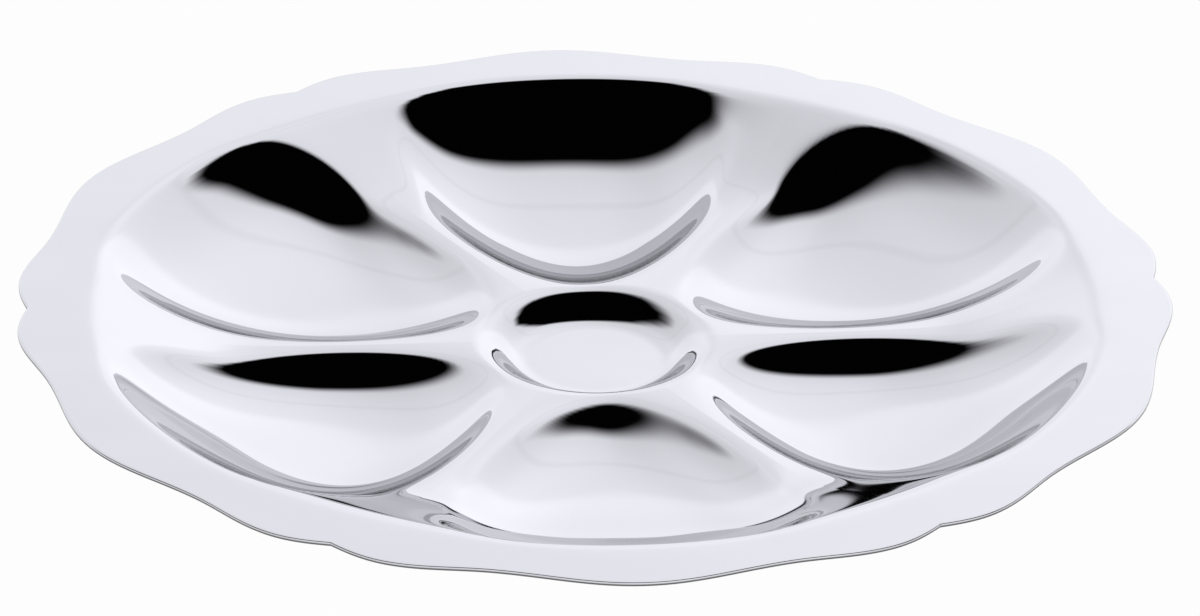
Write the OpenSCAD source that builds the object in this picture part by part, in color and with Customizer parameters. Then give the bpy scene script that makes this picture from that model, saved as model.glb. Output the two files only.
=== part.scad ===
// Oyster plate pressed from one sheet of polished steel.
// A flat scalloped brim surrounds six pear-shaped oyster wells, which narrow ridges divide,
// and a small round well lies in the middle. The table is z = 0 and the plate's axis is Z.
// A ridge, and the notch in the edge outside it, lie on +X.

/* [Plate] */
// Diameter across the tops of the big lobes
plate_d = 250; // [242:1:280]
// Height from the table to the top of the brim
plate_h = 19; // [17:0.5:24]
// Thickness of the pressed sheet
sheet_t = 0.9; // [0.6:0.1:1.4]
// Number of oyster wells, with as many ridges between them
well_count = 6; // [4:1:6]

/* [Scalloped edge] */
// Depth of each valley below the tops of the big lobes
valley_depth = 3.3; // [0:0.1:5]
// Depth of the tops of the small lobes below the tops of the big lobes
small_lobe_depth = 0.8; // [0:0.1:2]
// Depth of each notch below the tops of the big lobes
notch_depth = 3.3; // [0:0.1:5]
// Place of a small lobe's top, as a share of the way from a notch to a big lobe
small_lobe_place = 0.2; // [0.15:0.01:0.3]
// Place of a valley, as a share of the way from a notch to a big lobe
valley_place = 0.54; // [0.45:0.01:0.65]

/* [Brim] */
// Diameter of the mouth, where the flat brim turns down at the ridges
mouth_d = 215.4; // [205:0.1:220]
// Softness of the bend at the inside of the brim
brim_blend = 0.4; // [0.2:0.1:3]

/* [Ridges] */
// Drop from the top of the brim to the tops of the ridges
ridge_drop = 11.3; // [8:0.1:12]
// Slope, in degrees, at which each ridge climbs to the brim
ridge_end_slope = 22.5; // [15:0.5:40]
// Softness of the bend at the foot of that climb
ridge_foot_blend = 2.9; // [1:0.1:8]
// Softness of the edge between a ridge and a well
ridge_edge_blend = 1.4; // [0.6:0.1:3]

/* [Oyster wells] */
// Width of a well at its widest, at the level of the ridge tops
well_w = 76.9; // [60:0.1:80]
// Distance from the plate's axis to a well's inner tip
well_tip_r = 26; // [24:0.1:36]
// Distance from the plate's axis to a well's widest place
well_wide_r = 89.3; // [70:0.1:94]
// How blunt the inner tip is
tip_bluntness = 0.91; // [0:0.01:1]
// Depth of the bowl below the ridge tops, before the outer wall lifts its floor
bowl_depth = 9; // [5:0.1:9.5]
// How far the floor stays flat on the way to the inner tip
tip_power = 4.1; // [2:0.1:5]
// How far the floor stays flat on the way to the sides
side_power = 2.1; // [1.5:0.1:4]
// Distance from the plate's axis at which the floor starts to rise towards the mouth
rise_start = 57; // [45:1:70]
// Height that the floor gains from there to the mouth, apart from the outer wall
floor_rise = 4.6; // [0:0.1:6]
// How far outside the mouth's circle the line of the outer wall meets the top of the brim
wall_beyond_mouth = 6.5; // [0:0.1:8]
// Slope, in degrees, of that line
wall_slope = 50; // [35:0.5:60]
// Softness of the bend from the floor to the outer wall
wall_blend = 19.8; // [6:0.1:22]
// How much of the sheet is pressed flat under each well, where the plate stands
rest_flat = 0.15; // [0.1:0.01:0.25]

/* [Middle well] */
// Diameter of the flat floor
middle_floor_d = 28.6; // [16:0.2:34]
// Diameter of the edge, at the level of the ridge tops
middle_edge_d = 53.6; // [40:0.2:54]
// Depth below the ridge tops
middle_depth = 5.1; // [2:0.1:6]

/* [Hidden] */

half_pitch = 180 / well_count;
ridge_top_z = plate_h - ridge_drop;
mouth_r = mouth_d / 2;
wall_r = mouth_r + wall_beyond_mouth;
// The flat of the brim starts where every bend below it has ended
brim_flat_r = wall_r + 0.6;

// Facets: stations around each half well, crowded towards the ridge, and rings from the middle out
half_stations = 9;
station_crowding = 1.45;
middle_rings = 4;
well_rings = 10;
wall_rings = 6;
wall_start_r = wall_r - 19;
station_count = 2 * well_count * half_stations;

function mix(a, b, share) = a + (b - a) * share;
function limit(x, low, high) = min(max(x, low), high);
// Rises from 0 to 1 with no bend at either end
function ease(x) = x * x * x * (x * (6 * x - 15) + 10);
// Half a cosine wave, from 0 to 1
function wave(x) = (1 - cos(180 * x)) / 2;
// The lower or the higher of two heights, with a rounded change from one to the other
function smooth_min(a, b, blend) = (a + b - sqrt((a - b) * (a - b) + blend * blend)) / 2;
function smooth_max(a, b, blend) = (a + b + sqrt((a - b) * (a - b) + blend * blend)) / 2;

// Angle from the nearest ridge, from 0 to half the pitch
function from_ridge(angle) = abs(angle - 2 * half_pitch * round(angle / (2 * half_pitch)));

// Radius of the scalloped edge: a notch, a small lobe, a valley and a big lobe in each half pitch
function edge_r(angle) =
    let (
        place = from_ridge(angle) / half_pitch,
        big = plate_d / 2,
        small = big - small_lobe_depth,
        valley = big - valley_depth,
        notch = big - notch_depth
    )
    place < small_lobe_place ? mix(notch, small, sin(90 * place / small_lobe_place))
    : place < valley_place ? mix(small, valley, wave((place - small_lobe_place) / (valley_place - small_lobe_place)))
    : mix(valley, big, wave((place - valley_place) / (1 - valley_place)));

// Height of a well's bowl at a distance off the well's centre line and along it
function bowl_z(off, along) =
    let (
        t = (well_wide_r - along) / (well_wide_r - well_tip_r),
        length_part = (1 + tip_bluntness) * t * t - tip_bluntness * abs(t * t * t),
        side_part = pow(2 * off / well_w, 2),
        reach = max(length_part + side_part, 0.000001),
        power = mix(tip_power, side_power, side_part / reach)
    )
    ridge_top_z - bowl_depth * (1 - pow(reach, power));

function wall_z(r) = plate_h - (wall_r - r) * tan(wall_slope);

// How far the floor has risen at a distance along the well's centre line
function rise_z(along) = floor_rise * pow(max(along - rise_start, 0) / (mouth_r - rise_start), 2);

function raw_well_z(off, along, r) = smooth_max(bowl_z(off, along) + rise_z(along), wall_z(r), wall_blend);

// The lowest point of a well stands on the table, whatever lifts its floor
well_lift = sheet_t - rest_flat - min([for (r = [well_tip_r : 1 : wall_r]) raw_well_z(0, r, r)]);

function well_z(off, along, r) = raw_well_z(off, along, r) + well_lift;

// The ridges and the star in the middle, with the middle well, as one turned form
function middle_z(r) =
    ridge_top_z - middle_depth * (1 - ease(limit((2 * r - middle_floor_d) / (middle_edge_d - middle_floor_d), 0, 1)));

function ridge_end_z(r) = plate_h - (mouth_r - r) * tan(ridge_end_slope);

function ridge_z(r) = smooth_max(middle_z(r), ridge_end_z(r), ridge_foot_blend);

// Height of the upper face
function top_z(x, y) =
    let (
        r = norm([x, y]),
        off_axis = half_pitch - from_ridge(atan2(y, x)),
        well = well_z(r * sin(off_axis), r * cos(off_axis), r),
        dish = smooth_min(ridge_z(r), well, ridge_edge_blend)
    )
    r >= brim_flat_r ? plate_h : smooth_min(plate_h, dish, brim_blend);

// Height of the lower face: one sheet thickness below, square to the slope
function under_z(x, y) =
    let (
        step = 0.05,
        slope_x = (top_z(x + step, y) - top_z(x - step, y)) / (2 * step),
        slope_y = (top_z(x, y + step) - top_z(x, y - step)) / (2 * step)
    )
    max(0, top_z(x, y) - sheet_t * norm([slope_x, slope_y, 1]));

// Angle of a station, counted from the ridge on +X
function station_angle(i) =
    let (
        half = floor(i / half_stations),
        share = i / half_stations - half
    )
    half_pitch * (half + (half % 2 == 0 ? pow(share, station_crowding) : 1 - pow(1 - share, station_crowding)));

ring_radii = concat(
    [for (i = [0 : middle_rings]) mix(middle_floor_d, middle_edge_d, i / middle_rings) / 2],
    [for (i = [1 : well_rings]) mix(middle_edge_d / 2, wall_start_r, pow(i / well_rings, 1.4))],
    [for (i = [1 : wall_rings]) mix(brim_flat_r, wall_start_r, pow(1 - i / wall_rings, 1.5))]
);
ring_count = len(ring_radii) + 1;

// A ring's radius at an angle: the last ring is the scalloped edge
function ring_r(ring, angle) = ring < len(ring_radii) ? ring_radii[ring] : edge_r(angle);

grid = concat(
    [[0, 0]],
    [for (ring = [0 : ring_count - 1], i = [0 : station_count - 1])
        let (angle = station_angle(i)) ring_r(ring, angle) * [cos(angle), sin(angle)]]
);

// Place of a grid point in the list: the middle point comes first
function at(ring, i) = 1 + ring * station_count + i % station_count;

// Upper face as triangles, with the diagonals mirrored in each half well
sheet_faces = concat(
    [for (i = [0 : station_count - 1]) [0, at(0, i + 1), at(0, i)]],
    [for (ring = [0 : ring_count - 2], i = [0 : station_count - 1])
        let (
            a = at(ring, i),
            b = at(ring, i + 1),
            c = at(ring + 1, i + 1),
            d = at(ring + 1, i),
            first_half = floor(i / half_stations) % 2 == 0
        )
        each first_half ? [[a, b, c], [a, c, d]] : [[a, b, d], [b, c, d]]]
);

module plate() {
    under = len(grid);
    last = ring_count - 1;
    points = concat(
        [for (p = grid) [p.x, p.y, top_z(p.x, p.y)]],
        [for (p = grid) [p.x, p.y, under_z(p.x, p.y)]]
    );
    rim_faces = [for (i = [0 : station_count - 1])
        each [
            [at(last, i), at(last, i + 1), under + at(last, i + 1)],
            [at(last, i), under + at(last, i + 1), under + at(last, i)]
        ]];
    faces = concat(
        sheet_faces,
        [for (f = sheet_faces) [under + f[2], under + f[1], under + f[0]]],
        rim_faces
    );
    color([0.8, 0.81, 0.84]) polyhedron(points, faces);
}

plate();
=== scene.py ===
import math

import bmesh
import bpy
from mathutils import Matrix, Vector


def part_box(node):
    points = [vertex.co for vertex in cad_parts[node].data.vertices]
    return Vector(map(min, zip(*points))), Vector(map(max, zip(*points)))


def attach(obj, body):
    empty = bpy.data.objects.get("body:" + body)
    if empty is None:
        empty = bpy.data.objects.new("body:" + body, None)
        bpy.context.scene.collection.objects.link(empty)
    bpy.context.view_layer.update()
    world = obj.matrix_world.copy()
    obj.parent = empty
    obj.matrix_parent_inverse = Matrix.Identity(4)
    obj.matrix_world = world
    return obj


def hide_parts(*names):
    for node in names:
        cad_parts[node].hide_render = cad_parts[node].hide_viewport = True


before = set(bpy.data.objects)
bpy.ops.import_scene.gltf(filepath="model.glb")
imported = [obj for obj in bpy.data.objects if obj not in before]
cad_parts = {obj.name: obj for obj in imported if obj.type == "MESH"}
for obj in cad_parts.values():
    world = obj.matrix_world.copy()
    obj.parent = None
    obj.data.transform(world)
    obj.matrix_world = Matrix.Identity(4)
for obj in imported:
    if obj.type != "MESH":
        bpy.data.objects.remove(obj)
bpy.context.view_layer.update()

MM = 0.001

# The plate's sizes in millimetres, the first two from the frame
plate_low, plate_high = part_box("plate")
plate_r = plate_high.y / MM
plate_h = plate_high.z / MM
sheet_t = 0.9
well_count = 6
half_pitch = 180 / well_count

# Scalloped edge
valley_depth = 3.3
small_lobe_depth = 0.8
notch_depth = 3.3
small_lobe_place = 0.2
valley_place = 0.54

# Brim and ridges
mouth_r = 107.7
brim_blend = 0.4
ridge_drop = 11.3
ridge_top_z = plate_h - ridge_drop
ridge_end_slope = 22.5
ridge_foot_blend = 2.9
ridge_edge_blend = 1.4

# Oyster wells
well_w = 76.9
well_tip_r = 26
well_wide_r = 89.3
tip_bluntness = 0.91
bowl_depth = 9
tip_power = 4.1
side_power = 2.1
rise_start = 57
floor_rise = 4.6
wall_r = mouth_r + 6.5
wall_slope = 50
wall_blend = 19.8
rest_flat = 0.15

# Middle well
middle_floor_r = 14.3
middle_edge_r = 26.8
middle_depth = 5.1


def mix(a, b, share):
    return a + (b - a) * share


def limit(x, low, high):
    return min(max(x, low), high)


def sin_deg(angle):
    return math.sin(math.radians(angle))


def cos_deg(angle):
    return math.cos(math.radians(angle))


def tan_deg(angle):
    return math.tan(math.radians(angle))


def ease(x):
    return x * x * x * (x * (6 * x - 15) + 10)


def wave(x):
    return (1 - cos_deg(180 * x)) / 2


def smooth_min(a, b, blend):
    return (a + b - math.hypot(a - b, blend)) / 2


def smooth_max(a, b, blend):
    return (a + b + math.hypot(a - b, blend)) / 2


def from_ridge(angle):
    """Angle from the nearest ridge, from 0 to half the pitch."""
    return abs(angle - 2 * half_pitch * round(angle / (2 * half_pitch)))


def edge_r(angle):
    """Radius of the scalloped edge: a notch, a small lobe, a valley and a big lobe in each half pitch."""
    place = from_ridge(angle) / half_pitch
    small = plate_r - small_lobe_depth
    valley = plate_r - valley_depth
    if place < small_lobe_place:
        return mix(plate_r - notch_depth, small, sin_deg(90 * place / small_lobe_place))
    if place < valley_place:
        return mix(small, valley, wave((place - small_lobe_place) / (valley_place - small_lobe_place)))
    return mix(valley, plate_r, wave((place - valley_place) / (1 - valley_place)))


def bowl_z(off, along):
    """Height of a well's bowl at a distance off the well's centre line and along it."""
    t = (well_wide_r - along) / (well_wide_r - well_tip_r)
    length_part = (1 + tip_bluntness) * t * t - tip_bluntness * abs(t * t * t)
    side_part = (2 * off / well_w) ** 2
    reach = max(length_part + side_part, 1e-6)
    power = mix(tip_power, side_power, side_part / reach)
    return ridge_top_z - bowl_depth * (1 - reach ** power)


def raw_well_z(off, along, r):
    """Height of a well with its rising floor and its outer wall, before it is set down on the table."""
    rise_z = floor_rise * (max(along - rise_start, 0) / (mouth_r - rise_start)) ** 2
    wall_z = plate_h - (wall_r - r) * tan_deg(wall_slope)
    return smooth_max(bowl_z(off, along) + rise_z, wall_z, wall_blend)


# The lowest point of a well stands on the table, whatever lifts its floor
well_lift = sheet_t - rest_flat - min(raw_well_z(0, r, r) for r in range(well_tip_r, int(wall_r) + 1))


def ridge_z(r):
    """The ridges and the star in the middle, with the middle well, as one turned form."""
    climb = limit((r - middle_floor_r) / (middle_edge_r - middle_floor_r), 0, 1)
    middle_z = ridge_top_z - middle_depth * (1 - ease(climb))
    end_z = plate_h - (mouth_r - r) * tan_deg(ridge_end_slope)
    return smooth_max(middle_z, end_z, ridge_foot_blend)


def top_z(x, y):
    """Height of the upper face, in millimetres above the table."""
    r = math.hypot(x, y)
    off_axis = half_pitch - from_ridge(math.degrees(math.atan2(y, x)))
    well_z = raw_well_z(r * sin_deg(off_axis), r * cos_deg(off_axis), r) + well_lift
    dish_z = smooth_min(ridge_z(r), well_z, ridge_edge_blend)
    return smooth_min(plate_h, dish_z, brim_blend)


def under_z(x, y):
    """Height of the lower face, one sheet thickness below, square to the slope."""
    step = 0.05
    slope_x = (top_z(x + step, y) - top_z(x - step, y)) / (2 * step)
    slope_y = (top_z(x, y + step) - top_z(x, y - step)) / (2 * step)
    return max(0, top_z(x, y) - sheet_t * math.hypot(slope_x, slope_y, 1))


# Mesh: stations round the plate, crowded towards the ridges, and rings out from its middle for each face
stations = 480
station_crowding = 1.35
top_rings = 120
under_rings = 60
# The brim starts where the outer wall has ended, and takes this share of the rings
brim_inner_r = wall_r + 1
brim_share = 0.1

# Cut edge: its rounding, and the radius beyond which all of it lies
edge_rounding = 0.3
edge_inner_r = plate_r - 6
# Painted shade on its lower part, a dark band standing in for the shade that the edge mirrors below the
# plate: the height of its middle, and how far it reaches up and down from there, in full and with its soft
# end
painted_shade_middle_z = plate_h - 2 / 3 * sheet_t
painted_shade_reach = (0.12, 0.3)


def ring_r(share, angle):
    """Radius of a ring at an angle: the dish's rings are evenly spaced, and the brim's run to the edge."""
    if share < 1 - brim_share:
        return brim_inner_r * share / (1 - brim_share)
    return mix(brim_inner_r, edge_r(angle), (share - 1 + brim_share) / brim_share)


def crowd(angle):
    """Moves a station's angle towards the nearest ridge."""
    nearest = 2 * half_pitch * round(angle / (2 * half_pitch))
    share = abs(angle - nearest) / half_pitch
    return nearest + math.copysign(half_pitch * share ** station_crowding, angle - nearest)


def spun_sheet(rings, height):
    """One face of the sheet: a row of points spun round the axis, then moved to its form."""
    bm = bmesh.new()
    middle = bm.verts.new((0, 0, 0))
    end = bm.verts.new((1, 0, 0))
    row = bm.edges.new((middle, end))
    bmesh.ops.subdivide_edges(bm, edges=[row], cuts=rings - 1)
    bmesh.ops.spin(
        bm,
        geom=bm.verts[:] + bm.edges[:],
        cent=(0, 0, 0),
        axis=(0, 0, 1),
        angle=2 * math.pi,
        steps=stations,
        use_merge=True,
    )
    bmesh.ops.remove_doubles(bm, verts=bm.verts, dist=1e-6)
    for vert in bm.verts:
        angle = crowd(math.degrees(math.atan2(vert.co.y, vert.co.x)))
        r = ring_r(math.hypot(vert.co.x, vert.co.y), angle)
        x = r * cos_deg(angle)
        y = r * sin_deg(angle)
        vert.co = (x, y, height(x, y))
    return bm


def material(name):
    """A new material and its node tree."""
    mat = bpy.data.materials.new(name)
    mat.use_nodes = True
    return mat, mat.node_tree


def math_node(tree, operation, *values):
    """A Math node whose inputs are numbers or other nodes' outputs."""
    node = tree.nodes.new("ShaderNodeMath")
    node.operation = operation
    for place, value in enumerate(values):
        if isinstance(value, (int, float)):
            node.inputs[place].default_value = value
        else:
            tree.links.new(value, node.inputs[place])
    return node.outputs[0]


def step_node(tree, value, start, end):
    """Rises smoothly from 0 at start to 1 at end."""
    node = tree.nodes.new("ShaderNodeMapRange")
    node.interpolation_type = "SMOOTHSTEP"
    for name, source in (("Value", value), ("From Min", start), ("From Max", end)):
        if isinstance(source, (int, float)):
            node.inputs[name].default_value = source
        else:
            tree.links.new(source, node.inputs[name])
    return node.outputs["Result"]


def rest_of(tree, share):
    """What a share leaves of 1."""
    return math_node(tree, "SUBTRACT", 1, share)


def noise_node(tree, place, size_mm, detail):
    """Noise with patches of about a given size."""
    node = tree.nodes.new("ShaderNodeTexNoise")
    node.inputs["Scale"].default_value = 1 / (size_mm * MM)
    node.inputs["Detail"].default_value = detail
    tree.links.new(place, node.inputs["Vector"])
    return node.outputs["Fac"]


def on_edge_painted_shade(tree, place):
    """1 in the band of painted shade on the lower part of the sheet's cut edge, which lies outside the
    flat brim.
    """
    parts = tree.nodes.new("ShaderNodeSeparateXYZ")
    tree.links.new(place, parts.inputs[0])
    x, y, z = parts.outputs
    y_squared = math_node(tree, "MULTIPLY", y, y)
    radius = math_node(tree, "SQRT", math_node(tree, "MULTIPLY_ADD", x, x, y_squared))
    outside = math_node(tree, "GREATER_THAN", radius, edge_inner_r * MM)
    off_middle = math_node(tree, "ABSOLUTE", math_node(tree, "SUBTRACT", z, painted_shade_middle_z * MM))
    beyond = step_node(tree, off_middle, painted_shade_reach[0] * MM, painted_shade_reach[1] * MM)
    return math_node(tree, "MULTIPLY", outside, rest_of(tree, beyond))


def polished_steel():
    """Mirror-polished sheet, slightly wavy from the press and faintly cloudy, with a dark band of painted
    shade on the lower part of its cut edge, which is rougher there.
    """
    mat, tree = material("polished_steel")
    shader = tree.nodes["Principled BSDF"]
    shader.inputs["Specular Tint"].default_value = (0.8, 0.8, 0.8, 1)
    shader.inputs["Metallic"].default_value = 1
    place = tree.nodes.new("ShaderNodeTexCoord").outputs["Object"]
    # A dark band of painted shade on the lower part of the cut edge, standing in for the shade it mirrors
    # below the plate
    edge_painted_shade = on_edge_painted_shade(tree, place)
    colour = tree.nodes.new("ShaderNodeValToRGB")
    polished, painted_shade_stop = colour.color_ramp.elements
    polished.color = (0.83, 0.83, 0.855, 1)
    # Colour of the painted shade on the cut edge
    painted_shade_stop.color = (0.2, 0.2, 0.21, 1)
    tree.links.new(edge_painted_shade, colour.inputs["Fac"])
    tree.links.new(colour.outputs["Color"], shader.inputs["Base Color"])
    waves = noise_node(tree, place, 35, 1)
    grain = noise_node(tree, place, 0.5, 2)
    clouds = noise_node(tree, place, 12, 3)
    height = math_node(tree, "MULTIPLY_ADD", grain, 0.0015, waves)
    bump = tree.nodes.new("ShaderNodeBump")
    bump.inputs["Distance"].default_value = 0.2 * MM
    tree.links.new(height, bump.inputs["Height"])
    tree.links.new(bump.outputs["Normal"], shader.inputs["Normal"])
    roughness = math_node(tree, "MULTIPLY_ADD", clouds, 0.03, 0.015)
    # The band of painted shade on the cut edge is also rougher
    roughness = math_node(tree, "MULTIPLY_ADD", edge_painted_shade, 0.2, roughness)
    tree.links.new(roughness, shader.inputs["Roughness"])
    return mat


def make_plate():
    """The pressed sheet: an upper and a lower face, joined by a cut edge with rounded corners."""
    bm = spun_sheet(top_rings, top_z)
    under = spun_sheet(under_rings, under_z)
    scrap = bpy.data.meshes.new("scrap")
    under.to_mesh(scrap)
    bm.from_mesh(scrap)
    bpy.data.meshes.remove(scrap)
    rim = [edge for edge in bm.edges if edge.is_boundary]
    bmesh.ops.bridge_loops(bm, edges=rim)
    bmesh.ops.recalc_face_normals(bm, faces=bm.faces)
    bmesh.ops.bevel(
        bm,
        geom=rim,
        offset=edge_rounding,
        offset_type="OFFSET",
        segments=3,
        profile=0.5,
        affect="EDGES",
        material=-1,
    )
    bmesh.ops.scale(bm, vec=(MM, MM, MM), verts=bm.verts)
    mesh = bpy.data.meshes.new("pressed_plate")
    bm.to_mesh(mesh)
    bm.free()
    mesh.shade_smooth()
    mesh.materials.append(polished_steel())
    plate = bpy.data.objects.new("pressed_plate", mesh)
    bpy.context.scene.collection.objects.link(plate)
    return plate


# Camera: its focal length in pixels of the photograph, its place in degrees and millimetres from its
# target at the height of the brim, and how far the plate is turned in front of it
photo_w = 1200
focal_px = 5617.8
sensor_w = 36
camera_elevation = 27.28
camera_roll = 0.696
camera_distance = 1203.2
target_side = 1.15
target_ahead = -7.49
plate_turn = 4.91


def make_camera():
    """The photograph's view. Its axes and place are found in front of the plate, then turned about Z."""
    turn = Matrix.Rotation(math.radians(-plate_turn), 3, "Z")
    back = Vector((0, -cos_deg(camera_elevation), sin_deg(camera_elevation)))
    right = Vector((1, 0, 0))
    up = back.cross(right)
    roll = Matrix.Rotation(math.radians(camera_roll), 3, back)
    target = Vector((target_side, target_ahead, plate_h))
    place = turn @ (target + back * camera_distance) * MM
    axes = Matrix((turn @ (roll @ right), turn @ (roll @ up), turn @ back)).transposed()
    data = bpy.data.cameras.new("camera")
    data.sensor_width = sensor_w
    data.lens = focal_px / photo_w * sensor_w
    data.clip_start = 0.01
    data.clip_end = 100
    camera = bpy.data.objects.new("camera", data)
    camera.matrix_world = Matrix.Translation(place) @ axes.to_4x4()
    bpy.context.scene.collection.objects.link(camera)
    bpy.context.scene.camera = camera


# Pale floor, which reaches this far each way in metres, and how white the camera and the metal see it
floor_reach = 4
floor_white_to_camera = 0.97
floor_white_to_metal = 0.5

# The tent round the plate, by angles in degrees. Side is the angle to the left or right of straight
# ahead. Rise is the angle up from straight ahead, and it is 90 overhead.
side_span = (-90, 90)
rise_span = (-180, 180)
# Rise at which the dark opening overhead starts, and the width of its soft edge there, for each side
opening_start = (
    (-90, 45),
    (-46, 43),
    (-36, 56),
    (-26, 63),
    (0, 63),
    (14, 64),
    (26, 61),
    (36, 56),
    (46, 40),
    (90, 40),
)
opening_softness = ((-90, 20), (-36, 20), (-14, 13), (14, 8), (36, 10), (90, 14))
# Rise over which the opening ends again, side over which it ends, and the light left inside it
opening_end = (108, 122)
opening_side_end = (58, 68)
opening_level = 0.0006
# Brightness of the tent for each rise, and a factor on it for each side
tent_levels = (
    (-180, 1),
    (-10, 1),
    (0, 1.25),
    (15, 1.17),
    (24, 1.155),
    (31, 1.02),
    (40, 0.97),
    (55, 0.9),
    (75, 0.8),
    (180, 1),
)
side_levels = (
    (-90, 0.85),
    (-40, 0.82),
    (-20, 0.92),
    (-6, 0.905),
    (6, 1.015),
    (20, 1.05),
    (40, 0.95),
    (90, 0.92),
)
# A faint seam across the tent: its rise straight ahead, how much it rises for each degree sideways, its
# half width in full and with its soft edge, and the share of the light that it takes
seam_rise = 46
seam_climb = 0.1
seam_reach = (0.2, 2.5)
seam_depth = 0.05


def curve_node(tree, value, points, span, low, high):
    """A smooth curve through points of input and output, over a span of inputs and from low to high."""
    start, end = span
    share = math_node(tree, "DIVIDE", math_node(tree, "SUBTRACT", value, start), end - start)
    node = tree.nodes.new("ShaderNodeFloatCurve")
    curve = node.mapping.curves[0]
    for x, y in points:
        place = ((x - start) / (end - start), (y - low) / (high - low))
        if x in span:
            point = curve.points[0 if x == start else -1]
            point.location = place
        else:
            curve.points.new(*place)
    node.mapping.update()
    tree.links.new(share, node.inputs["Value"])
    return math_node(tree, "MULTIPLY_ADD", node.outputs[0], high - low, low)


def shown_white(tree, surface, white, share):
    """Shows a surface whiter, by the share that the ray gives."""
    blend = tree.nodes.new("ShaderNodeMixShader")
    tree.links.new(share, blend.inputs["Fac"])
    tree.links.new(surface, blend.inputs[1])
    tree.links.new(white.outputs[0], blend.inputs[2])
    white.inputs["Color"].default_value = (1, 1, 1, 1)
    return blend.outputs[0]


def make_floor():
    """A plain pale floor, which keeps the plate's shadow. The camera and the metal see it whiter."""
    bm = bmesh.new()
    bmesh.ops.create_grid(bm, x_segments=1, y_segments=1, size=floor_reach)
    mesh = bpy.data.meshes.new("floor")
    bm.to_mesh(mesh)
    bm.free()
    mat, tree = material("pale_floor")
    shader = tree.nodes["Principled BSDF"]
    shader.inputs["Base Color"].default_value = (0.9, 0.9, 0.9, 1)
    shader.inputs["Roughness"].default_value = 0.9
    white = tree.nodes.new("ShaderNodeEmission")
    path = tree.nodes.new("ShaderNodeLightPath")
    to_camera = math_node(tree, "MULTIPLY", path.outputs["Is Camera Ray"], floor_white_to_camera)
    share = math_node(tree, "MULTIPLY_ADD", path.outputs["Is Glossy Ray"], floor_white_to_metal, to_camera)
    floor_shown = shown_white(tree, shader.outputs[0], white, share)
    tree.links.new(floor_shown, tree.nodes["Material Output"].inputs["Surface"])
    mesh.materials.append(mat)
    floor = bpy.data.objects.new("floor", mesh)
    bpy.context.scene.collection.objects.link(floor)


def side_and_rise(tree):
    """The side and the rise of a direction."""
    direction = tree.nodes.new("ShaderNodeTexCoord")
    turned = tree.nodes.new("ShaderNodeVectorRotate")
    turned.rotation_type = "Z_AXIS"
    turned.inputs["Angle"].default_value = math.radians(plate_turn)
    tree.links.new(direction.outputs["Generated"], turned.inputs["Vector"])
    parts = tree.nodes.new("ShaderNodeSeparateXYZ")
    tree.links.new(turned.outputs[0], parts.inputs[0])
    side = math_node(tree, "DEGREES", math_node(tree, "ARCSINE", parts.outputs["X"]))
    rise = math_node(tree, "DEGREES", math_node(tree, "ARCTAN2", parts.outputs["Z"], parts.outputs["Y"]))
    return side, rise


def dark_opening(tree, side, rise):
    """1 in the dark opening overhead, and 0 on the tent."""
    start = curve_node(tree, side, opening_start, side_span, 0, 90)
    softness = curve_node(tree, side, opening_softness, side_span, 0, 30)
    dark = step_node(tree, rise, start, math_node(tree, "ADD", start, softness))
    behind = step_node(tree, rise, *opening_end)
    beside = step_node(tree, math_node(tree, "ABSOLUTE", side), *opening_side_end)
    dark = math_node(tree, "MULTIPLY", dark, rest_of(tree, behind))
    return math_node(tree, "MULTIPLY", dark, rest_of(tree, beside))


def tent_light(tree, side, rise):
    """Brightness of the tent, with its seam."""
    level = curve_node(tree, rise, tent_levels, rise_span, 0, 2)
    side_level = curve_node(tree, side, side_levels, side_span, 0, 2)
    climb = math_node(tree, "MULTIPLY_ADD", side, -seam_climb, rise)
    off_seam = math_node(tree, "ABSOLUTE", math_node(tree, "SUBTRACT", climb, seam_rise))
    beyond = step_node(tree, off_seam, *seam_reach)
    seam = math_node(tree, "MULTIPLY_ADD", beyond, seam_depth, 1 - seam_depth)
    return math_node(tree, "MULTIPLY", math_node(tree, "MULTIPLY", level, side_level), seam)


def make_world():
    """A white tent, brightest low down, with a dark opening overhead. The camera sees plain white."""
    world = bpy.data.worlds.new("tent")
    bpy.context.scene.world = world
    world.use_nodes = True
    tree = world.node_tree
    side, rise = side_and_rise(tree)
    tent_share = rest_of(tree, dark_opening(tree, side, rise))
    light = math_node(tree, "MULTIPLY_ADD", tent_light(tree, side, rise), tent_share, opening_level)
    background = tree.nodes["Background"]
    background.inputs["Color"].default_value = (0.952, 0.952, 1, 1)
    tree.links.new(light, background.inputs["Strength"])
    white = tree.nodes.new("ShaderNodeBackground")
    path = tree.nodes.new("ShaderNodeLightPath")
    world_shown = shown_white(tree, background.outputs[0], white, path.outputs["Is Camera Ray"])
    tree.links.new(world_shown, tree.nodes["World Output"].inputs["Surface"])


plate = make_plate()
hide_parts("plate")
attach(plate, "root")
make_floor()
make_world()
make_camera()
bpy.context.scene.view_settings.view_transform = "Standard"
# Light that runs along the steep sides of a well meets the metal many times
bpy.context.scene.cycles.glossy_bounces = 12
